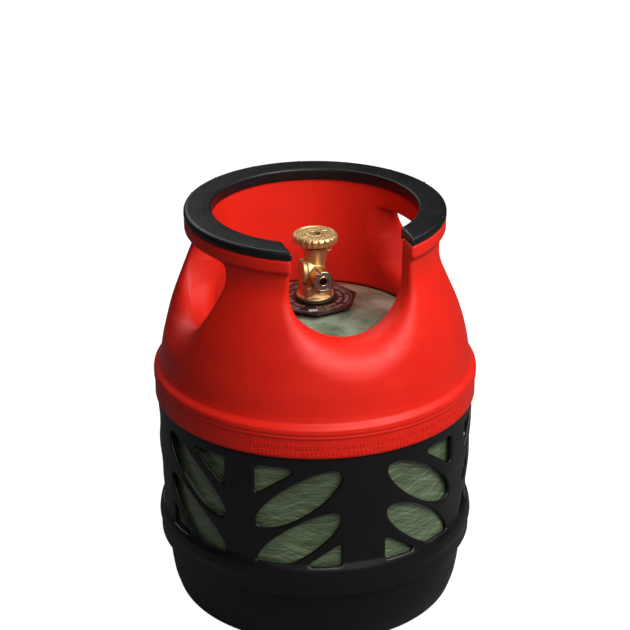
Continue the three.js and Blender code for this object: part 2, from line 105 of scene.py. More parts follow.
# ---------------------------------------------------------------- outlines
def outline(points, step=2.0):
    """A closed outline through [x, y, corner radius] points, each corner replaced by an arc."""
    pts = [np.array(p[:2], float) for p in points]
    radii = [p[2] if len(p) > 2 else 0.0 for p in points]
    count = len(pts)
    out = []
    for i in range(count):
        here = pts[i]
        if radii[i] <= 0:
            out.append(here)
            continue
        before, after = pts[i - 1] - here, pts[(i + 1) % count] - here
        room = min(np.linalg.norm(before), np.linalg.norm(after)) * 0.499
        before, after = before / np.linalg.norm(before), after / np.linalg.norm(after)
        half = math.acos(np.clip(before @ after, -1, 1)) / 2
        if half > math.pi / 2 - 1e-4:
            out.append(here)
            continue
        radius = min(radii[i], room * math.tan(half))
        cut = radius / math.tan(half)
        bisector = (before + after) / np.linalg.norm(before + after)
        centre = here + bisector * radius / math.sin(half)
        start, end = here + before * cut - centre, here + after * cut - centre
        turn = math.pi - 2 * half
        steps = max(2, int(math.ceil(max(turn / math.radians(9), turn * radius / step))))
        sign = 1 if start[0] * end[1] - start[1] * end[0] > 0 else -1
        for k in range(steps + 1):
            a = sign * turn * k / steps
            ca, sa = math.cos(a), math.sin(a)
            out.append(centre + np.array([start[0] * ca - start[1] * sa, start[0] * sa + start[1] * ca]))
    return np.array(out)


def polygon_distance(px, py, polygon):
    """Signed distance to a closed polygon, negative inside."""
    best = np.full(px.shape, np.inf)
    inside = np.zeros(px.shape, bool)
    for a, b in zip(polygon, np.roll(polygon, -1, axis=0)):
        edge = b - a
        length = edge @ edge
        if length < 1e-12:
            continue
        t = np.clip(((px - a[0]) * edge[0] + (py - a[1]) * edge[1]) / length, 0, 1)
        best = np.minimum(best, (px - a[0] - t * edge[0]) ** 2 + (py - a[1] - t * edge[1]) ** 2)
        if a[1] != b[1]:
            crosses = (a[1] > py) != (b[1] > py)
            inside ^= crosses & (px < (b[0] - a[0]) * (py - a[1]) / (b[1] - a[1]) + a[0])
    return np.where(inside, -1, 1) * np.sqrt(best)


class Plan:
    def __init__(self, polygons, low, high, step):
        self.low, self.step = low, step
        nx = int((high[0] - low[0]) / step) + 2
        ny = int((high[1] - low[1]) / step) + 2
        gx, gy = np.meshgrid(low[0] + step * np.arange(nx), low[1] + step * np.arange(ny), indexing="ij")
        self.table = np.minimum.reduce([polygon_distance(gx, gy, p) for p in polygons])

    def __call__(self, x, y):
        """The distance at each place, read off the table with linear blending."""
        nx, ny = self.table.shape
        fx = np.clip((x - self.low[0]) / self.step, 0, nx - 1.001)
        fy = np.clip((y - self.low[1]) / self.step, 0, ny - 1.001)
        ix, iy = fx.astype(np.int32), fy.astype(np.int32)
        fx, fy = fx - ix, fy - iy
        t = self.table
        return ((t[ix, iy] * (1 - fx) + t[ix + 1, iy] * fx) * (1 - fy)
                + (t[ix, iy + 1] * (1 - fx) + t[ix + 1, iy + 1] * fx) * fy)


# ---------------------------------------------------------------- implicit solids
def both(a, b, radius):
    """Intersection of two fields with an edge of that radius."""
    u = np.maximum(a + radius, 0)
    v = np.maximum(b + radius, 0)
    return np.minimum(-radius, np.maximum(a, b)) + np.hypot(u, v)


def either(a, b, radius):
    """Union of two fields with a fillet of that radius."""
    return -both(-a, -b, radius)


def surface_net(values, wrap):
    """Vertices, in grid units, and quads of a grid's zero surface. Values are negative inside."""
    around = values.shape[0]
    if wrap:
        values = np.concatenate([values, values[:1]], axis=0)
    inside = values < 0
    shape = tuple(n - 1 for n in values.shape)
    corners = [(i, j, k) for i in (0, 1) for j in (0, 1) for k in (0, 1)]
    total = np.zeros(shape, np.int8)
    for i, j, k in corners:
        total += inside[i:i + shape[0], j:j + shape[1], k:k + shape[2]]
    active = (total > 0) & (total < 8)
    cells = np.argwhere(active)
    number = np.full(shape, -1, np.int64)
    number[active] = np.arange(len(cells))
    place = np.zeros((len(cells), 3))
    hits = np.zeros(len(cells))
    for a in corners:
        for axis in range(3):
            if a[axis]:
                continue
            b = tuple(c + (n == axis) for n, c in enumerate(a))
            va = values[tuple((cells + a).T)]
            vb = values[tuple((cells + b).T)]
            cut = (va < 0) != (vb < 0)
            t = va[cut] / (va[cut] - vb[cut])
            place[cut] += np.array(a, float)
            place[cut, axis] += t
            hits[cut] += 1
    vertices = cells + place / hits[:, None]
    quads = []
    for d in range(3):
        u, v = (d + 1) % 3, (d + 2) % 3
        take = [slice(0, n) for n in values.shape]
        first, second = list(take), list(take)
        first[d] = slice(0, values.shape[d] - 1)
        second[d] = slice(1, values.shape[d])
        low = inside[tuple(first)]
        edges = np.argwhere(low != inside[tuple(second)])
        if wrap and d != 0:
            edges = edges[edges[:, 0] < around]
        rises = low[tuple(edges.T)]
        ring = []
        for du, dv in ((1, 1), (0, 1), (0, 0), (1, 0)):
            cell = edges.copy()
            cell[:, u] -= du
            cell[:, v] -= dv
            if wrap:
                cell[:, 0] %= around
            ring.append(number[tuple(cell.T)])
        ring = np.stack(ring, axis=1)
        quads.append(np.where(rises[:, None], ring, ring[:, ::-1]))
    return vertices, np.concatenate(quads)


def settle(points, field, passes=3, reach_mm=1.5):
    """Pulls points onto the field's zero surface, save where the field is too flat to tell."""
    h = 0.05
    flat = 0.3
    for _ in range(passes):
        x, y, z = points.T
        value = field(x, y, z)
        slope = np.stack([
            field(x + h, y, z) - field(x - h, y, z),
            field(x, y + h, z) - field(x, y - h, z),
            field(x, y, z + h) - field(x, y, z - h),
        ], axis=1) / (2 * h)
        size = (slope ** 2).sum(1)
        move = np.where(size > flat, -value / np.maximum(size, flat), 0)[:, None] * slope
        length = np.maximum(np.linalg.norm(move, axis=1), 1e-9)
        points = points + move * np.minimum(1, reach_mm / length)[:, None]
    return points


def mesh_object(name, points, faces, material):
    """A mesh object from points in mm."""
    mesh = bpy.data.meshes.new(name)
    faces = np.asarray(faces)
    mesh.vertices.add(len(points))
    mesh.vertices.foreach_set("co", (np.asarray(points) * MM).astype(np.float32).ravel())
    mesh.loops.add(faces.size)
    mesh.loops.foreach_set("vertex_index", faces.ravel().astype(np.int32))
    mesh.polygons.add(len(faces))
    side = faces.shape[1]
    mesh.polygons.foreach_set("loop_start", np.arange(0, faces.size, side, dtype=np.int32))
    mesh.polygons.foreach_set("loop_total", np.full(len(faces), side, np.int32))
    mesh.update(calc_edges=True)
    mesh.validate()
    mesh.shade_smooth()
    piece = bpy.data.objects.new(name, mesh)
    bpy.context.scene.collection.objects.link(piece)
    mesh.materials.append(material)
    return piece


def moulded(name, field, low, high, step, material):
    """An implicit solid meshed in a box."""
    axes = [np.arange(a, b + s, s) for a, b, s in zip(low, high, step)]
    grid = np.meshgrid(*axes, indexing="ij")
    vertices, quads = surface_net(field(*grid), wrap=False)
    points = np.array(low) + vertices * np.array(step)
    return mesh_object(name, settle(points, field), quads, material)


def moulded_round(name, field, radii, levels, steps_round, material):
    """An implicit solid meshed on a grid round the bottle's axis, at the given radii and levels."""
    angles = np.arange(steps_round) * (2 * math.pi / steps_round)
    a, r, z = np.meshgrid(angles, radii, levels, indexing="ij")
    vertices, quads = surface_net(field(-r * np.sin(a), -r * np.cos(a), z), wrap=True)
    a = vertices[:, 0] * (2 * math.pi / steps_round)
    r = np.interp(vertices[:, 1], np.arange(len(radii)), radii)
    z = np.interp(vertices[:, 2], np.arange(len(levels)), levels)
    points = np.stack([-r * np.sin(a), -r * np.cos(a), z], axis=1)
    return mesh_object(name, settle(points, field), quads, material)


def turned(name, profile, steps, material, place=None):
    """A surface of revolution about Z from a closed outline, or one that ends on the axis.

    `place` is a turn, as three rows, and a shift in mm.
    """
    profile = np.asarray(profile, float)
    on_axis = profile[0][0] < 1e-6 and profile[-1][0] < 1e-6
    body = profile[1:-1] if on_axis else profile
    angles = np.arange(steps) * (2 * math.pi / steps)
    rings = len(body)
    points = np.stack([
        np.outer(np.cos(angles), body[:, 0]), np.outer(np.sin(angles), body[:, 0]),
        np.tile(body[:, 1], (steps, 1)),
    ], axis=2).reshape(-1, 3)
    faces = []
    spans = rings - 1 if on_axis else rings
    for i in range(steps):
        j = (i + 1) % steps
        for k in range(spans):
            m = (k + 1) % rings
            faces.append((i * rings + k, j * rings + k, j * rings + m, i * rings + m))
    if on_axis:
        low, high = len(points), len(points) + 1
        points = np.vstack([points, [0, 0, profile[0][1]], [0, 0, profile[-1][1]]])
        for i in range(steps):
            j = (i + 1) % steps
            faces.append((low, j * rings, i * rings))
            faces.append((high, i * rings + rings - 1, j * rings + rings - 1))
    if place is not None:
        points = points @ np.array(place[0]).T + np.array(place[1])
    mesh = bpy.data.meshes.new(name)
    mesh.from_pydata((points * MM).tolist(), [], faces)
    mesh.validate()
    work = bmesh.new()
    work.from_mesh(mesh)
    bmesh.ops.recalc_face_normals(work, faces=work.faces)
    work.to_mesh(mesh)
    work.free()
    mesh.shade_smooth()
    mesh.set_sharp_from_angle(angle=math.radians(40))
    mesh.materials.append(material)
    piece = bpy.data.objects.new(name, mesh)
    bpy.context.scene.collection.objects.link(piece)
    return piece


def fit(piece, body, slot, *nodes):
    """Rides a piece on its body and lets it stand for CAD nodes; the slot is not used."""
    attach(piece, body)
    if nodes:
        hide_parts(*nodes)
    return piece


# ---------------------------------------------------------------- materials
def new_material(name):
    """A material with its node tree and its main shader."""
    material = bpy.data.materials.new(name)
    material.use_nodes = True
    tree = material.node_tree
    shader = tree.nodes["Principled BSDF"]
    return material, tree, shader


def srgb(r, g, b):
    """A linear colour from 8-bit sRGB values."""
    linear = [c / 255 / 12.92 if c <= 10 else ((c / 255 + 0.055) / 1.055) ** 2.4 for c in (r, g, b)]
    return (*linear, 1.0)


def noise(tree, scale, detail, rough, vector=None):
    """Cloudy noise between 0 and 1, in the object's own coordinates unless others are given."""
    node = tree.nodes.new("ShaderNodeTexNoise")
    node.inputs["Scale"].default_value = scale
    node.inputs["Detail"].default_value = detail
    node.inputs["Roughness"].default_value = rough
    if vector is None:
        where = tree.nodes.new("ShaderNodeTexCoord")
        vector = where.outputs["Object"]
    tree.links.new(vector, node.inputs["Vector"])
    return node.outputs["Fac"]


def object_axes(tree):
    """The X, Y and Z sockets of the object's own coordinates, in metres."""
    where = tree.nodes.new("ShaderNodeTexCoord")
    parts = tree.nodes.new("ShaderNodeSeparateXYZ")
    tree.links.new(where.outputs["Object"], parts.inputs["Vector"])
    return parts.outputs


def math_node(tree, kind, *values):
    """The result of one calculation on sockets or numbers."""
    node = tree.nodes.new("ShaderNodeMath")
    node.operation = kind
    for socket, value in zip(node.inputs, values):
        if isinstance(value, (int, float)):
            socket.default_value = value
        else:
            tree.links.new(value, socket)
    return node.outputs["Value"]


def ramp(tree, value, stops):
    """A colour for each value, from (position, colour) stops."""
    node = tree.nodes.new("ShaderNodeValToRGB")
    tree.links.new(value, node.inputs["Fac"])
    elements = node.color_ramp.elements
    while len(elements) < len(stops):
        elements.new(0.5)
    for element, (position, colour) in zip(elements, stops):
        element.position = position
        element.color = colour
    return node.outputs["Color"]


def spread(tree, value, low, high, out_low, out_high):
    """Maps the range low to high onto out_low to out_high, held at both ends."""
    node = tree.nodes.new("ShaderNodeMapRange")
    tree.links.new(value, node.inputs["Value"])
    for key, number in (("From Min", low), ("From Max", high), ("To Min", out_low), ("To Max", out_high)):
        node.inputs[key].default_value = number
    return node.outputs["Result"]


def blend_colours(tree, factor, a, b):
    """Colour a where the factor is 0 and b where it is 1; b is a colour or a socket."""
    node = tree.nodes.new("ShaderNodeMixRGB")
    tree.links.new(factor, node.inputs["Fac"])
    tree.links.new(a, node.inputs["Color1"])
    if isinstance(b, tuple):
        node.inputs["Color2"].default_value = b
    else:
        tree.links.new(b, node.inputs["Color2"])
    return node.outputs["Color"]


def mottled(tree, shader, dark, light, scale, detail=4.0):
    """Gives the shader a base colour that drifts between dark and light in soft patches."""
    patches = noise(tree, scale, detail, 0.6)
    tree.links.new(ramp(tree, patches, [(0.3, dark), (0.7, light)]), shader.inputs["Base Color"])


def bump(tree, height, distance, strength=1.0, under=None):
    """A normal with relief, on top of another one if given; distance in metres."""
    node = tree.nodes.new("ShaderNodeBump")
    node.inputs["Distance"].default_value = distance
    node.inputs["Strength"].default_value = strength
    tree.links.new(height, node.inputs["Height"])
    if under is not None:
        tree.links.new(under, node.inputs["Normal"])
    return node.outputs["Normal"]


def grained_plastic(name, dark, light, rough, grain_scale, grain_depth, wave_depth=0.0):
    """Moulded plastic: mottled colour, uneven gloss, fine grain."""
    material, tree, shader = new_material(name)
    mottled(tree, shader, dark, light, 14.0)
    gloss = noise(tree, 45.0, 5.0, 0.65)
    tree.links.new(spread(tree, gloss, 0.3, 0.7, rough - 0.05, rough + 0.06), shader.inputs["Roughness"])
    grain = noise(tree, grain_scale, 3.0, 0.6)
    normal = bump(tree, grain, grain_depth)
    if wave_depth:
        normal = bump(tree, noise(tree, 26.0, 2.0, 0.4), wave_depth, under=normal)
    tree.links.new(normal, shader.inputs["Normal"])
    return material, tree, shader


def plastic(*look, specular=0.5):
    """Grained plastic as a finished material, with that strength of reflection."""
    material, _, shader = grained_plastic(*look)
    shader.inputs["Specular IOR Level"].default_value = specular
    return material


def fibre_wrap():
    """Resin-soaked glass fibre, wound round the vessel in crossing bands, with a painted highlight on the
    dome and painted glints along some fibres.
    """
    material, tree, shader = new_material("fibre_wrap")
    nodes, links = tree.nodes, tree.links
    x, y, z = object_axes(tree)

    def streaks(lean, across, along, seed):
        """Noise drawn out along fibres that climb at the slope `lean`."""
        angle = math_node(tree, "ARCTAN2", y, x)
        arc = math_node(tree, "MULTIPLY", angle, VESSEL_RADIUS * MM)
        squares = math_node(tree, "MULTIPLY", x, x), math_node(tree, "MULTIPLY", y, y)
        radius = math_node(tree, "SQRT", math_node(tree, "ADD", *squares))
        up = math_node(tree, "SUBTRACT", z, radius)
        side = math_node(tree, "SUBTRACT", up, math_node(tree, "MULTIPLY", arc, lean))
        joined = nodes.new("ShaderNodeCombineXYZ")
        links.new(math_node(tree, "MULTIPLY", side, across), joined.inputs[0])
        for socket, kind in ((1, "COSINE"), (2, "SINE")):
            round_axis = math_node(tree, kind, angle)
            links.new(math_node(tree, "MULTIPLY", round_axis, along), joined.inputs[socket])
        shifted = nodes.new("ShaderNodeVectorMath")
        shifted.operation = "ADD"
        links.new(joined.outputs["Vector"], shifted.inputs[0])
        shifted.inputs[1].default_value = (seed, seed * 2.0, seed * 3.0)
        return noise(tree, 1.0, 2.0, 0.5, shifted.outputs["Vector"])

    def weighted(first, share, second):
        """A mean of two values, with `share` of the first."""
        parts = math_node(tree, "MULTIPLY", first, share), math_node(tree, "MULTIPLY", second, 1 - share)
        return math_node(tree, "ADD", *parts)

    helix = 0.42  # slope of the crossing fibres
    hoop = streaks(0.04, 760.0, 3.0, 1.7)
    climb = streaks(helix, 700.0, 3.0, 5.1)
    fall = streaks(-helix, 700.0, 3.0, 9.4)
    mixed = weighted(hoop, 0.4, weighted(climb, 0.5, fall))
    clouds = noise(tree, 18.0, 4.0, 0.6)
    colour = ramp(tree, weighted(mixed, 0.75, clouds), [
        (0.36, srgb(50, 62, 40)), (0.46, srgb(70, 85, 57)), (0.54, srgb(92, 109, 78)),
        (0.66, srgb(138, 154, 122)),
    ])

    # Painted highlight: towards the top of the dome the colour is blended halfway to a lighter, cloudy
    # grey-green, standing in for the light falling on the upward-facing dome.
    dome_highlight_colour = ramp(tree, clouds, [(0.4, srgb(84, 97, 76)), (0.6, srgb(182, 193, 172))])
    dome_highlight_share = spread(tree, z, 0.262, 0.288, 0.0, 0.5)
    colour = blend_colours(tree, dome_highlight_share, colour, dome_highlight_colour)

    # Thin light lines along the fibres: partly the glass fibres' own paler tone, partly painted glints.
    threads = streaks(0.02, 1100.0, 4.0, 12.1)
    for lean, seed in ((helix, 3.3), (-helix, 7.7)):
        threads = math_node(tree, "MAXIMUM", threads, streaks(lean, 1100.0, 4.0, seed))
    fibre_tone_and_glint = spread(tree, threads, 0.64, 0.74, 0.0, 0.42)
    colour = blend_colours(tree, fibre_tone_and_glint, colour, srgb(196, 206, 176))
    links.new(colour, shader.inputs["Base Color"])
    links.new(spread(tree, mixed, 0.35, 0.65, 0.40, 0.24), shader.inputs["Roughness"])
    shader.inputs["Coat Weight"].default_value = 0.55
    shader.inputs["Coat Roughness"].default_value = 0.1
    normal = bump(tree, mixed, 0.0002, 0.6)
    links.new(bump(tree, clouds, 0.0012, 0.6, under=normal), shader.inputs["Normal"])
    return material


def brass(name, rough, cast_depth, dark, light, machined_outlet=False):
    """Brass with an uneven tone and a forged grain, cut smooth on the outlet if asked."""
    material, tree, shader = new_material(name)
    mottled(tree, shader, dark, light, 60.0, 5.0)
    shader.inputs["Metallic"].default_value = 1.0
    gloss = noise(tree, 140.0, 4.0, 0.6)
    roughness = spread(tree, gloss, 0.3, 0.7, rough - 0.06, rough + 0.08)
    grain = noise(tree, 1100.0, 4.0, 0.7)
    pits = noise(tree, 420.0, 3.0, 0.6)
    normal = bump(tree, grain, cast_depth)
    normal = bump(tree, pits, cast_depth * 2.5, 0.8, under=normal)
    if machined_outlet:
        _, y, z = object_axes(tree)
        in_front_of_block = spread(tree, y, -0.0152, -0.0142, 1.0, 0.0)
        above_block = spread(tree, z, 0.3165, 0.3175, 0.0, 1.0)
        blend = tree.nodes.new("ShaderNodeMix")
        tree.links.new(math_node(tree, "MULTIPLY", in_front_of_block, above_block), blend.inputs["Factor"])
        tree.links.new(roughness, blend.inputs["A"])
        blend.inputs["B"].default_value = 0.24
        roughness = blend.outputs["Result"]
    tree.links.new(roughness, shader.inputs["Roughness"])
    tree.links.new(normal, shader.inputs["Normal"])
    return material


def plate_plastic():
    """Dark moulded plastic whose raised marks are lighter on top."""
    material, tree, shader = grained_plastic(
        "plate", srgb(22, 8, 9), srgb(36, 13, 14), 0.34, 1000.0, 0.00004)
    base = shader.inputs["Base Color"].links[0].from_socket
    height = object_axes(tree)["Z"]
    raised = spread(tree, height, (PLATE_TOP + 0.06) * MM, (PLATE_TOP + 0.16) * MM, 0.0, 0.7)
    tree.links.new(blend_colours(tree, raised, base, srgb(150, 122, 118)), shader.inputs["Base Color"])
    return material


def striped_label():
    """A small white label with plain dark bars across it."""
    material, tree, shader = grained_plastic(
        "label", srgb(215, 216, 214), srgb(240, 240, 237), 0.45, 900.0, 0.00002)
    base = shader.inputs["Base Color"].links[0].from_socket
    where = tree.nodes.new("ShaderNodeTexCoord")
    turned_round = tree.nodes.new("ShaderNodeVectorRotate")
    turned_round.rotation_type = "Z_AXIS"
    turned_round.inputs["Angle"].default_value = math.radians(9.5)
    tree.links.new(where.outputs["Object"], turned_round.inputs["Vector"])
    bars = tree.nodes.new("ShaderNodeTexWave")
    bars.inputs["Scale"].default_value = 190.0
    tree.links.new(turned_round.outputs["Vector"], bars.inputs["Vector"])
    dark = spread(tree, bars.outputs["Fac"], 0.45, 0.6, 0.0, 0.85)
    tree.links.new(blend_colours(tree, dark, base, srgb(40, 38, 38)), shader.inputs["Base Color"])
    return material


def bare_metal(name, dark, light, rough):
    """Bare metal: uneven tone and gloss, fine grain."""
    material, tree, shader = new_material(name)
    mottled(tree, shader, dark, light, 70.0)
    shader.inputs["Metallic"].default_value = 1.0
    gloss = noise(tree, 160.0, 4.0, 0.6)
    tree.links.new(spread(tree, gloss, 0.3, 0.7, rough - 0.06, rough + 0.08), shader.inputs["Roughness"])
    tree.links.new(bump(tree, noise(tree, 1800.0, 3.0, 0.6), 0.00003), shader.inputs["Normal"])
    return material


RED = plastic(
    "red_plastic", srgb(211, 29, 16), srgb(221, 36, 20), 0.47, 900.0, 0.00006, 0.0002, specular=0.24)
BLACK = plastic(
    "black_plastic", srgb(7, 7, 8), srgb(12, 11, 12), 0.40, 1100.0, 0.00005, 0.00015, specular=0.35)
GRIP = plastic("soft_grip", srgb(9, 8, 9), srgb(15, 14, 15), 0.42, 1500.0, 0.00006, specular=0.38)
RUBBER = plastic("rubber", srgb(14, 14, 15), srgb(24, 23, 24), 0.62, 1300.0, 0.00005)
SEAL = plastic("face_seal", srgb(58, 54, 58), srgb(80, 75, 80), 0.5, 1300.0, 0.00004)
LINER = plastic("liner", srgb(196, 200, 196), srgb(216, 219, 214), 0.4, 700.0, 0.00006)
PLATE = plate_plastic()
LABEL = striped_label()
FIBRE = fibre_wrap()
FORGED = brass("forged_brass", 0.5, 0.00007, srgb(200, 162, 112), srgb(226, 190, 138), True)
WHEEL = brass("wheel_brass", 0.5, 0.00008, srgb(206, 168, 114), srgb(232, 196, 142))
MACHINED = brass("machined_brass", 0.26, 0.00002, srgb(214, 176, 124), srgb(236, 202, 152))
ALUMINIUM = bare_metal("aluminium", srgb(172, 174, 176), srgb(202, 203, 204), 0.3)
STEEL = bare_metal("spring_steel", srgb(150, 151, 154), srgb(186, 187, 189), 0.26)


# ---------------------------------------------------------------- upper casing
def casing_profile():
    """Outside of the casing, skirt to band, as a closed outline that reaches in past the well."""
    band = GRIP_RADIUS - 0.2
    return outline([
        [20, SKIRT_BOTTOM - 40], [SKIRT_RADIUS, SKIRT_BOTTOM - 40], [SKIRT_RADIUS, 228.6, 0.3],
        [153.3, 229.3, 0.4], [153.3, 230.6, 0.5], [152.8, 231.6, 0.8], [BEAD_RADIUS, 234.0, 2.5],
        [152.9, 237.8, 3], [148.2, 242.4, 4], [146.7, 248, 6], [143.9, 266, 120],
        [136.2, 298.5, 200], [116.7, 353.5, 45], [116.7, 370.4, 7], [band, 374.6, 5],
        [band, CASING_TOP, 1.2], [20, CASING_TOP],
    ])


def opening_plan(half, lip, top, corner):
    """The outline of a collar opening seen along its own direction."""
    points = []
    for k in range(33):
        a = math.pi + math.pi * k / 32
        points.append([half * math.cos(a), OPENING_CENTRE + (OPENING_CENTRE - lip) * math.sin(a)])
    points += [[half, top, corner], [-half, top, corner]]
    return Plan([outline(points)], (-90, 240), (90, 440), 0.7)


casing_plan = Plan([casing_profile()], (80, 190), (165, 400), 0.5)
gap_plan = opening_plan(GAP_HALF, GAP_LIP, TOP + 60, 0)
hand_plan = opening_plan(HAND_HALF, HAND_LIP, HAND_TOP, HAND_CORNER)


def casing_field(x, y, z):
    """The collar and shoulder with their front gap and two hand holes, hollow below, open underneath."""
    r = np.hypot(x, y)
    outside = casing_plan(r, z)
    well = WELL_RADIUS - WELL_TAPER * (CASING_TOP - z) - r

    # The front gap: its outer edge is rolled more the lower it lies.
    gap_roll = np.interp(z, [283, 300, 330, 356, 368], [30, 27, 14, 7, 5])
    gap = -np.maximum(gap_plan(x, z), y + 20)
    front = both(both(outside, gap, gap_roll), well, 3.5)

    # The hand holes widen inwards, and their floor and roof fall a little towards the well.
    flare = 0.22 * np.clip(112 - np.abs(x), 0, 35)
    near_well = 1 - np.clip((r - WELL_RADIUS) / 19, 0, 1)
    slope = np.interp(z, [285, 310, 330, 350], [3, 8, 0, 10]) * near_well
    hands = -np.maximum(hand_plan(np.maximum(np.abs(y) - flare, 0), z + slope), 48 - np.abs(x))
    outer_roll = np.interp(z, [275, 292, 312, 336, 368], [28, 24, 13, 8, 4])
    well_roll = np.interp(z, [282, 300, 345, 364], [16, 9, 8, 4])
    outer, inner = both(outside, hands, outer_roll), both(well, hands, well_roll)

    # The wall grows thicker above the shoulder, up to a solid collar.
    body = both(front, both(outer, inner, 3), 0.5)
    shell = np.maximum(body, -(body + CASING_WALL + np.maximum(z - 285, 0)))
    foot = np.where(r < 112, WELL_BOTTOM, SKIRT_BOTTOM) - z
    return both(shell, foot, 0.8)


def upper_casing():
    levels = np.concatenate([np.arange(206, 227, 2.0), np.arange(227, 248, 0.75), np.arange(248, 390, 1.9)])
    piece = moulded_round("casing", casing_field, np.arange(92, 157, 1.6), levels, 420, RED)
    return fit(piece, "bottle", "red_plastic", "upper_casing")


# ---------------------------------------------------------------- grip
grip_plan = Plan([outline([
    [WELL_RADIUS, GRIP_BOTTOM], [GRIP_RADIUS, GRIP_BOTTOM, 1.0], [GRIP_RADIUS, TOP - 0.3, 5.2],
    [102.6, TOP, 0.3], [102.2, TOP - 0.45, 0.2], [101.8, TOP - 0.1, 0.3], [GRIP_INSIDE, TOP - 0.2, 2.2],
    [GRIP_INSIDE, GRIP_BOTTOM - GRIP_LIP, 1.0], [WELL_RADIUS, GRIP_BOTTOM - GRIP_LIP],
], step=0.6)], (90, 376), (128, 402), 0.15)


def grip_field(x, y, z):
    """The grip's ring, ended at the front gap with its upper corners cut back."""
    body = grip_plan(np.hypot(x, y), z)
    end = np.where(y < 0, GAP_HALF + 0.5 - np.abs(x), -20.0)
    body = both(body, end, 1.3)
    return both(body, (end + z - TOP + 1.6) * 0.7, 1.2)


def grip_ring():
    piece = moulded_round("grip", grip_field, np.arange(93, 125, 0.9), np.arange(380, 398, 0.9), 560, GRIP)
    return fit(piece, "bottle", "soft_grip", "grip_ring")


# ---------------------------------------------------------------- basket
basket_plan = Plan([outline([
    [145.1, BASKET_TOP, 1], [145.1, 207, 1], [146.3, 203, 3], [146.3, 160, 60], [143.75, 113, 30],
    [143.75, 99, 6], [146.6, 88, 6], [146.6, BASKET_BOTTOM, 0.8], [150.0, BASKET_BOTTOM, 1.4],
    [150.0, 76.5, 3], [BUMPER_RADIUS + 0.3, 83, 8], [150.4, 91.5, 6], [146.6, 99, 4], [146.9, 113, 30],
    [149.8, 160, 120], [149.9, 208.3, 0.8], [148.5, 208.3, 0.3], [148.5, BASKET_TOP, 1],
])], (138, 55), (160, 235), 0.4)

ARC = math.radians(149.9)  # mm round the basket per degree
WINDOW_FOOT, WINDOW_HEAD = 97.0, 197.5
LEAF_HEIGHTS, LEAF_TILT, LEAF_HALF = (164.2, 120.6), math.radians(-35.5), 16.0
FRONT_STEM, SIDE_STEM, GROUP_WIDE = 8.3, 83.0, 31.5  # degrees


def window_group(wide):
    """Window outlines, `wide` mm across, with x measured from the stem where the leaves are high."""
    middle = wide / 2
    cos_tilt, sin_tilt = math.cos(LEAF_TILT), math.sin(LEAF_TILT)
    length = math.sqrt((middle - 0.3) ** 2 - (LEAF_HALF * sin_tilt) ** 2) / cos_tilt
    outlines = []
    for height in LEAF_HEIGHTS:
        points = []
        for k in range(64):
            a = 2 * math.pi * k / 64
            u, v = length * math.cos(a), LEAF_HALF * math.sin(a)
            points.append([middle + u * cos_tilt - v * sin_tilt, height + u * sin_tilt + v * cos_tilt])
        points = np.array(points)
        points[:, 1] = np.maximum(points[:, 1], WINDOW_FOOT)
        outlines.append(points)
    foot = WINDOW_FOOT - 1.5
    outlines.append(outline([[wide, WINDOW_HEAD, 3], [wide, 167, 2.5], [middle - 2, WINDOW_HEAD, 3]]))
    outlines.append(outline([[0, 119.5, 2], [0, foot, 2.5], [middle - 6, foot, 2]]))
    return outlines


window_plan = Plan(window_group(GROUP_WIDE * ARC), (-8, 85), (90, 215), 0.5)


def basket_field(x, y, z):
    """The jacket with its windows, alike in each quarter."""
    slab = basket_plan(np.hypot(x, y), z)
    from_front = np.degrees(np.arctan2(np.abs(x), np.abs(y)))
    front_group = window_plan((from_front - FRONT_STEM) * ARC, z)
    side_group = window_plan((SIDE_STEM - from_front) * ARC, z)
    return both(slab, -np.minimum(front_group, side_group), 1.3)


def lower_basket():
    radii, levels = np.arange(141.5, 154, 1.0), np.arange(62, 229, 1.6)
    piece = moulded_round("basket", basket_field, radii, levels, 560, BLACK)
    return fit(piece, "bottle", "black_plastic", "lower_basket")


# ---------------------------------------------------------------- base, vessel
def base_casing():
    profile = outline([
        [96, 0, 1.2], [122, 0, 9], [133, 5, 14], [138.6, 22, 40], [141.2, 38, 60], [141.8, 62.5, 1],
        [145.9, 66, 1], [145.9, 76, 0.8], [143.1, 76, 0.8], [143.1, 68, 1], [138.2, 62, 1], [137.2, 38, 40],
        [134.6, 22, 30], [130, 7.5, 10], [121, 3.5, 6], [99.5, 3.5, 1], [99.5, 31, 0.6], [96, 29.5, 0.6],
    ])
    return fit(turned("base", profile, 240, BLACK), "bottle", "black_plastic", "base_casing")


def dome_arc(radius, rise, level, start, end, count):
    """Points on a domed end whose rim lies at that level, from one angle above the rim to another."""
    return [[radius * math.cos(a), level + rise * math.sin(a)] for a in np.linspace(start, end, count)]


def composite_shell():
    """The fibre wrap: two domed ends, open at the neck and closed at the foot."""
    lower, upper = VESSEL_FOOT + VESSEL_HEAD, VESSEL_SHOULDER
    neck, wrap = 20.8, 4.0
    inner, depth = VESSEL_RADIUS - wrap, VESSEL_HEAD - wrap
    outer_neck, inner_neck = math.acos(neck / VESSEL_RADIUS), math.acos(neck / inner)
    points = dome_arc(VESSEL_RADIUS, VESSEL_HEAD, lower, -math.pi / 2, 0, 41)
    points += [[VESSEL_RADIUS, level] for level in np.linspace(lower, upper, 13)[1:]]
    points += dome_arc(VESSEL_RADIUS, VESSEL_HEAD, upper, 0, outer_neck, 41)[1:]
    points += dome_arc(inner, depth, upper, inner_neck, 0, 25)
    points += dome_arc(inner, depth, lower, 0, -math.pi / 2, 25)
    points[0][0] = points[-1][0] = 0.0
    return fit(turned("vessel", points, 200, FIBRE), "bottle", "fibre_wrap", "composite_shell")


# ---------------------------------------------------------------- valve
FAR = 9.0  # mm, a distance for places without a raised mark


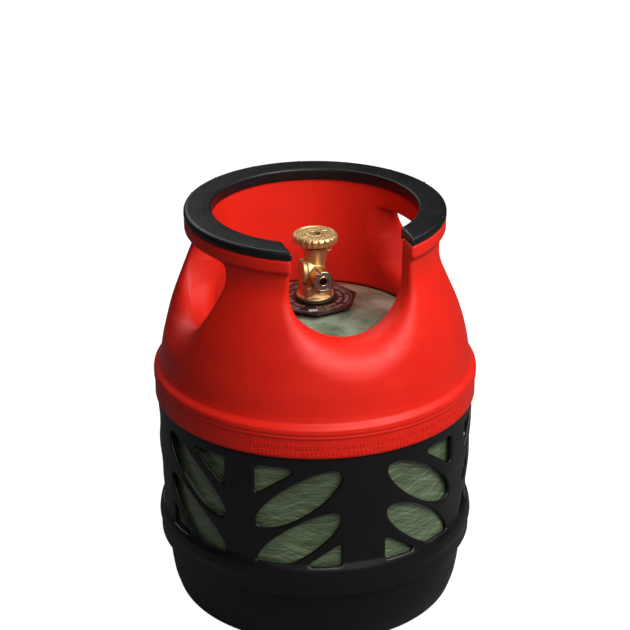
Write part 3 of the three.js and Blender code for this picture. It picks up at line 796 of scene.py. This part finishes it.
def spun(points, step=0.6):
    """The field of a turned solid, from its outline in radius and height."""
    half = outline(points, step=step)
    whole = np.concatenate([half, half[::-1] * [-1, 1]])
    low, high = whole.min(0) - 3, whole.max(0) + 3
    return Plan([whole], low, high, 0.15)


def rod(r, h, radius, low, high, edge):
    """A round bar with rounded rims, from the distance to its axis and along it."""
    return both(r - radius, np.abs(h - (low + high) / 2) - (high - low) / 2, edge)


def carved(body, cuts, edge):
    """A body less the given cuts."""
    for cut in cuts:
        body = both(body, -cut, edge)
    return body


def degrees_from(centre, turn):
    """The angle from `centre` to `turn`, between -180 and 180 degrees."""
    return (turn - centre + 180) % 360 - 180


barrel = spun([
    [0, 270], [12.8, 270, 0.8], [12.8, 303.6], [17.6, 303.6, 0.5], [17.6, 305.8, 0.5], [15.2, 307.4, 1.5],
    [11.0, 317.5, 3], [9.3, 321, 5], [9.1, 336, 14], [11.4, 349.0, 3], [11.4, BODY_TOP, 0.8], [0, BODY_TOP],
])


def valve_field(x, y, z):
    """The forged body: flange, square and neck, with outlet, relief boss, lug and bores."""
    r = np.hypot(x, y)
    square = both(both(np.abs(x) - 13, np.abs(y) - 13, 0.5), np.abs(z - 311.6) - 6.0, 0.4)
    square = both(square, (r - 17.0 + np.maximum(z - 315.5, 0) * 0.9) * 0.8, 0.5)
    body = either(barrel(r, z), square, 0.5)
    across_front = np.hypot(x, z - OUTLET_AXIS)
    across_left = np.hypot(y, z - RELIEF_AXIS)
    outlet = rod(across_front, -y, OUTLET_RADIUS, 0, OUTLET_REACH, 0.7)
    boss = rod(across_left, -x, RELIEF_RADIUS, 0, RELIEF_FACE, 0.6)
    body = either(either(body, outlet, 0.9), boss, 1.0)
    lug = rod(np.hypot(x - LUG_OUT, z - LUG_HEIGHT), y, 3.2, -1.5, 1.5, 0.5)
    body = either(body, lug, 0.5)
    cuts = [
        rod(np.hypot(x - LUG_OUT - 0.5, z - LUG_HEIGHT), y, 1.5, -5, 5, 0.1),  # lug's hole
        rod(r, z, 5.0, 260, SEAT - 3, 0.1),  # inlet
        rod(r, z, 3.0, SEAT - 5, SEAT + 2, 0.1),  # seat
        rod(r, z, 5.0, SEAT, 338, 0.1),  # chamber
        rod(r, z, 7.0, 336.5, 360, 0.1),  # gland nut
        rod(across_front, -y, 3.6, 3.8, 30, 0.1),  # outlet
        both(both(across_front - 8.7, 5.1 - across_front, 0.1), OUTLET_REACH - 2.8 + y, 0.1),  # face seal
        rod(across_left, -x, 1.6, 6.6, 12, 0.1),  # relief seat
        rod(across_left, -x, 4.2, 8.3, 12, 0.1),  # relief poppet's room
        rod(np.hypot(x + 7.2, y), z, 0.9, 260, RELIEF_AXIS, 0.1),  # relief passage, up from the vessel
    ]
    return carved(body, cuts, 0.2)


def valve_body():
    piece = moulded("valve", valve_field, (-20, -28, 268), (20, 20, 356), (0.55, 0.55, 0.6), FORGED)
    return fit(piece, "bottle", "valve_brass", "valve_body")


wheel_turned = spun([
    [0, WHEEL_BOTTOM], [19.6, WHEEL_BOTTOM, 0.6], [WHEEL_RADIUS + 0.3, WHEEL_BOTTOM + 1.6, 1.2],
    [WHEEL_RADIUS + 0.3, WHEEL_TOP - 2.6, 1.6], [19.0, WHEEL_TOP, 2.0], [17.6, WHEEL_TOP, 0.8],
    [16.9, WHEEL_TOP - 1.0, 0.6], [7.6, WHEEL_TOP - 1.0, 0.6], [6.8, WHEEL_TOP - 0.3, 0.4],
    [0, WHEEL_TOP - 0.3],
], step=0.4)


def wheel_marks(x, y, z):
    """Raised bars round the top of the wheel, in two rows of uneven rhythm."""
    turn = np.degrees(np.arctan2(x, y))
    ring, pitch = 12.4, 14.6
    from_ring = np.hypot(x, y) - ring
    marks = np.full(np.shape(x), FAR)
    for start in (-66, 114):
        for k in range(10):
            off = np.radians(degrees_from(start + pitch * k, turn)) * ring
            wide, tall = 0.5 + 0.3 * (k % 3 == 1), 2.2 - 0.7 * (k % 4 == 2)
            lean = 0.25 * (k % 3 - 1) * from_ring
            bar = np.maximum(np.abs(off + lean) - wide, np.abs(from_ring) - tall)
            marks = np.minimum(marks, bar)
    return both(marks, np.abs(z - (WHEEL_TOP - 1.0)) - 0.55, 0.2)


def wheel_field(x, y, z):
    """The wheel with its lobes, its raised marks, the nut's recess and the spindle's square."""
    r = np.hypot(x, y)
    phase = (np.arctan2(y, x) * WHEEL_LOBES / (2 * math.pi)) % 1 - 0.5
    groove = 1.9 * np.exp(-((np.abs(phase) / 0.13) ** 2)) + 0.9 * (0.5 - np.abs(phase)) ** 2
    body = both(wheel_turned(r, z), (r - WHEEL_RADIUS + groove) * 0.75, 0.35)
    body = either(body, wheel_marks(x, y, z), 0.25)
    body = both(body, -rod(r, z, 5.2, WHEEL_FLOOR, 380, 0.2), 0.35)
    square = np.maximum(np.maximum(np.abs(x), np.abs(y)) - 2.6, z - 364)
    return both(body, -square, 0.1)


def handwheel():
    piece = moulded("wheel", wheel_field, (-23, -23, 356.6), (23, 23, 368), (0.4, 0.4, 0.4), WHEEL)
    return fit(piece, "handwheel", "valve_brass", "handwheel")


# How a piece turned about Z is laid along -Y on the outlet's axis, and along -X on the relief's.
TO_FRONT = ([[1, 0, 0], [0, 0, -1], [0, 1, 0]], [0, 0, OUTLET_AXIS])
TO_LEFT = ([[0, 0, -1], [0, 1, 0], [1, 0, 0]], [0, 0, RELIEF_AXIS])


def small_parts():
    """The outlet's face seal, the washer under the flange, the gland nut and the relief spring."""
    seal = outline([
        [5.4, 23.5, 0.3], [8.4, 23.5, 0.3], [8.4, 25.8, 0.5], [7.9, 25.8, 0.2], [6.9, 25.5, 0.3],
        [5.9, 25.8, 0.2], [5.4, 25.8, 0.4],
    ], step=0.3)
    fit(turned("face_seal", seal, 96, SEAL, TO_FRONT), "bottle", "seal_rubber", "outlet_seal")
    washer = outline([
        [13.1, 301.75, 0.4], [18.5, 301.75, 0.7], [18.5, 303.3, 0.7], [13.1, 303.3, 0.4],
    ], step=0.3)
    fit(turned("flange_washer", washer, 120, RUBBER), "bottle", "seal_rubber", "valve_washer")
    gland = outline([
        [3.7, 341.4, 0.3], [6.7, 341.4, 0.5], [6.7, BODY_TOP + 0.3], [9.6, BODY_TOP + 0.3, 0.3],
        [9.0, 357.2, 0.9], [3.7, 357.2, 0.4], [3.7, 350.1, 0.1], [5.4, 350.1, 0.1], [5.4, 347.9, 0.1],
        [3.7, 347.9, 0.1], [3.7, 345.7, 0.1], [5.4, 345.7, 0.1], [5.4, 343.5, 0.1], [3.7, 343.5, 0.1],
    ], step=0.3)
    fit(turned("gland", gland, 96, MACHINED), "bottle", "valve_brass", "gland_nut")
    coil = outline([
        [2.2, SPRING_FOOT, 0.2], [3.0, SPRING_FOOT, 0.2], [3.0, 12.5, 0.2], [2.2, 12.5, 0.2],
    ], step=0.3)
    fit(turned("relief_coil", coil, 64, STEEL, TO_LEFT), "bottle", "spring_steel", "relief_spring")


cap_turned = spun([
    [0, 10.2], [11.6, 10.2, 0.4], [11.6, 13.6, 0.5], [10.9, 14.4, 0.5], [9.9, 14.4, 0.3], [9.6, 13.9, 0.3],
    [4.9, 13.9, 0.3], [4.6, 14.3, 0.3], [0, 14.3],
], step=0.4)


def cap_field(x, y, z):
    """The relief cap: a rimmed disc with a ring of raised dashes, a hollow behind and three vents."""
    across, along = np.hypot(y, z - RELIEF_AXIS), -x
    turn = np.degrees(np.arctan2(y, z - RELIEF_AXIS))
    dash_ring, vent_ring = 7.3, 2.6
    marks = np.full(np.shape(x), FAR)
    for k in range(12):
        off = np.radians(degrees_from(30 * k, turn)) * dash_ring
        dash = np.maximum(np.abs(off) - 0.6, np.abs(across - dash_ring) - 1.3 - 0.3 * (k % 3))
        marks = np.minimum(marks, dash)
    marks = both(marks, np.abs(along - 13.8) - 0.5, 0.2)
    body = either(cap_turned(across, along), marks, 0.2)
    cuts = [rod(across, along, 4.2, 5, 13.2, 0.1)]
    for k in range(3):
        a = 2 * math.pi * k / 3
        from_vent = np.hypot(y - vent_ring * math.cos(a), z - RELIEF_AXIS - vent_ring * math.sin(a))
        cuts.append(from_vent - 0.7)
    return carved(body, cuts, 0.15)


def relief_cap():
    low, high = (-15.2, -12.5, RELIEF_AXIS - 12.5), (-9.6, 12.5, RELIEF_AXIS + 12.5)
    piece = moulded("relief_disc", cap_field, low, high, (0.35, 0.42, 0.42), FORGED)
    return fit(piece, "bottle", "valve_brass", "relief_cap")


def plate_outline():
    """The plate's outline seen from above, with rounded corners."""
    corners = []
    for k in range(PLATE_SIDES):
        a = math.radians(PLATE_TURN + 360 / PLATE_SIDES * k)
        corners.append([PLATE_CORNER * math.sin(a), -PLATE_CORNER * math.cos(a), 2.2])
    return outline(corners)


plate_plan = Plan([plate_outline()], (-46, -46), (46, 46), 0.3)


def plate_field(x, y, z):
    """The plate with its neck hole, two rings of raised dashes and a raised line round them."""
    r = np.hypot(x, y)
    edge = plate_plan(x, y)
    half = (PLATE_TOP - PLATE_BOTTOM) / 2
    body = both(edge, np.abs(z - PLATE_TOP + half) - half, 0.6)
    turn = np.degrees(np.arctan2(x, -y))
    marks = np.abs(r - 34.2) - 0.3
    for radius, tall, pitch, skip in ((24.0, 1.7, 7.4, 5), (30.2, 1.9, 6.2, 7)):
        phase = (turn / pitch + 0.5) % 1 - 0.5
        index = np.floor(turn / pitch + 0.5)
        wide = 0.75 + 0.35 * (index % 3 == 1)
        bar = np.maximum(np.abs(np.radians(phase * pitch)) * radius - wide, np.abs(r - radius) - tall)
        shown = (index % skip != 0) & (np.abs(turn + 28) > 12)  # bare round the label
        marks = np.minimum(marks, np.where(shown, bar, FAR))
    raised = both(marks, np.abs(z - PLATE_TOP) - 0.22, 0.12)
    raised = np.maximum(raised, edge + 1.5)
    body = np.minimum(body, raised)
    return both(body, 13.1 - r, 0.3)


def dome_plate():
    low, high = (-43, -43, PLATE_BOTTOM - 1.2), (43, 43, PLATE_TOP + 1.2)
    piece = moulded("plate", plate_field, low, high, (0.6, 0.6, 0.4), PLATE)
    return fit(piece, "bottle", "black_plastic", "dome_plate")


def skirt_marks():
    """Two rows of small raised dashes round the front of the skirt."""
    sunk, proud, inset = 0.2, 0.28, 0.22
    points, faces = [], []

    def dash(turn, low, high, wide):
        """One block with a bevelled face, `wide` mm round the skirt."""
        count = len(points)
        for out, shrink in ((-sunk, 0.0), (proud * 0.6, 0.0), (proud, inset)):
            for du, z in ((-wide / 2 + shrink, low + shrink), (wide / 2 - shrink, low + shrink),
                          (wide / 2 - shrink, high - shrink), (-wide / 2 + shrink, high - shrink)):
                a = math.radians(turn) + du / SKIRT_RADIUS
                r = SKIRT_RADIUS + out
                points.append([r * math.sin(a), -r * math.cos(a), z])
        for layer in (0, 1):
            for k in range(4):
                m = (k + 1) % 4
                base = count + 4 * layer
                faces.append((base + k, base + m, base + 4 + m, base + 4 + k))
        faces.append((count + 8, count + 9, count + 10, count + 11))
        faces.append((count + 3, count + 2, count + 1, count))

    # An uneven rhythm: some places are left out, some dashes are short, some have a foot or a head.
    for row, (low, high, pitch) in enumerate(((212.0, 216.6, 1.42), (219.6, 223.6, 1.30))):
        turn, k = -40.0, 0
        while turn < 46:
            k += 1
            rhythm = (k * (7 + row)) % 11
            if rhythm == 3:
                turn += pitch
                continue
            wide = 0.9 + 0.35 * (rhythm % 4)
            short = 1.6 if rhythm in (1, 8) else 0.0
            dash(turn, low + short * (rhythm == 8), high - short * (rhythm == 1), wide)
            if rhythm in (2, 5, 9):
                dash(turn + 0.55, low, low + 1.2, 1.5)
            if rhythm in (4, 6, 10):
                dash(turn + 0.5, high - 1.2, high, 1.4)
            turn += pitch
    piece = mesh_object("skirt_marks", np.array(points), faces, RED)
    piece.data.shade_flat()
    return fit(piece, "bottle", "red_plastic")


def grip_pips():
    """Tiny moulded pips round the outer top edge of the grip."""
    ring, ball, rings, sides = GRIP_RADIUS - 1.6, 0.9, 5, 12
    points, faces = [], []
    for k in range(14):
        turn = math.radians(35 + 22.4 * k)
        centre = np.array([ring * math.sin(turn), -ring * math.cos(turn), TOP - 1.35])
        count = len(points)
        for i in range(rings + 1):
            up = math.pi * i / rings
            for j in range(sides):
                a = 2 * math.pi * j / sides
                points.append(centre + ball * np.array([
                    math.sin(up) * math.cos(a), math.sin(up) * math.sin(a), math.cos(up)]))
        for i in range(rings):
            for j in range(sides):
                m = (j + 1) % sides
                faces.append((count + i * sides + j, count + (i + 1) * sides + j,
                              count + (i + 1) * sides + m, count + i * sides + m))
    piece = mesh_object("grip_pips", np.array(points), faces, GRIP)
    return fit(piece, "bottle", "soft_grip")


valve_body()
handwheel()
small_parts()
relief_cap()
dome_plate()
skirt_marks()
grip_pips()
upper_casing()
grip_ring()
lower_basket()
base_casing()
composite_shell()

# The CAD nodes keep their shape and get these materials by slot.
PLAIN = {
    "black_plastic": BLACK,
    "soft_grip": GRIP,
    "red_plastic": RED,
    "valve_brass": MACHINED,
    "fibre_wrap": FIBRE,
    "boss_metal": ALUMINIUM,
    "spring_steel": STEEL,
    "liner_plastic": LINER,
    "seal_rubber": RUBBER,
    "seal_plastic": SEAL,
    "label_white": LABEL,
}
for row in frame["record"]["subparts"]:
    node = frame["nodes"][row["node"]]
    material = PLAIN.get(row["material_slot"])
    if material:
        node.data.materials.clear()
        node.data.materials.append(material)


# ---------------------------------------------------------------- stage, light, camera
FILL = 0.022  # light from the backdrop
LAMP_AIM = Vector((0, 0, 0.28))
VIEW_TURN, VIEW_RISE, VIEW_DISTANCE, VIEW_LENS = -18.0, 23.9, 2.0, 121.1
VIEW_AIM = Vector((0, 0, 0.283))


def seen(tree):
    """1 where the eye looks straight at a surface, 0 where the surface only lights others."""
    return tree.nodes.new("ShaderNodeLightPath").outputs["Is Camera Ray"]


def stage():
    """A pale floor that looks white but throws little light up at the object."""
    material, tree, shader = new_material("studio_floor")
    shader.inputs["Base Color"].default_value = (0.16, 0.16, 0.16, 1)
    shader.inputs["Roughness"].default_value = 0.8
    shader.inputs["Specular IOR Level"].default_value = 0.1
    shader.inputs["Emission Color"].default_value = (1, 1, 1, 1)
    tree.links.new(spread(tree, seen(tree), 0, 1, 0.0, 0.97), shader.inputs["Emission Strength"])
    half = 6.0
    corners = [(-half, -half, 0), (half, -half, 0), (half, half, 0), (-half, half, 0)]
    mesh = bpy.data.meshes.new("studio_floor")
    mesh.from_pydata(corners, [], [(0, 1, 2, 3)])
    mesh.materials.append(material)
    floor = bpy.data.objects.new("studio_floor", mesh)
    bpy.context.scene.collection.objects.link(floor)


def aimed(name, data, aim, turn, rise, distance):
    """Puts a lamp or camera `turn` degrees round from the front and `rise` degrees up, facing `aim`."""
    a, b = math.radians(turn), math.radians(rise)
    away = Vector((math.sin(a) * math.cos(b), -math.cos(a) * math.cos(b), math.sin(b)))
    thing = bpy.data.objects.new(name, data)
    thing.location = aim + away * distance
    thing.rotation_euler = (-away).to_track_quat("-Z", "Y").to_euler()
    bpy.context.scene.collection.objects.link(thing)
    return thing


def area_light(name, turn, rise, distance, size, power):
    """A soft lamp, `size` metres wide and high."""
    light = bpy.data.lights.new(name, "AREA")
    light.shape = "RECTANGLE"
    light.size, light.size_y = size
    light.energy = power
    aimed(name, light, LAMP_AIM, turn, rise, distance)


def camera():
    """The view from the front, a little to the left and above."""
    data = bpy.data.cameras.new("camera")
    data.sensor_width = 36.0
    data.lens = VIEW_LENS
    data.clip_end = 50
    bpy.context.scene.camera = aimed("camera", data, VIEW_AIM, VIEW_TURN, VIEW_RISE, VIEW_DISTANCE)


def world_light():
    """White to look at, and a dim fill for the object."""
    world = bpy.data.worlds.new("studio")
    bpy.context.scene.world = world
    world.use_nodes = True
    tree = world.node_tree
    backdrop = tree.nodes["Background"]
    backdrop.inputs["Color"].default_value = (1, 1, 1, 1)
    tree.links.new(spread(tree, seen(tree), 0, 1, FILL, 1.0), backdrop.inputs["Strength"])


stage()
camera()
world_light()
bpy.context.scene.view_settings.view_transform = "Standard"
area_light("key", 34, 46, 1.9, (1.1, 0.9), 40)
area_light("side", 88, 42, 1.8, (0.8, 0.8), 5)
area_light("front", -8, 38, 1.8, (0.6, 0.5), 10)
area_light("top", 178, 62, 1.6, (0.5, 0.4), 4)
area_light("back", 196, 34, 1.9, (1.0, 0.8), 7)
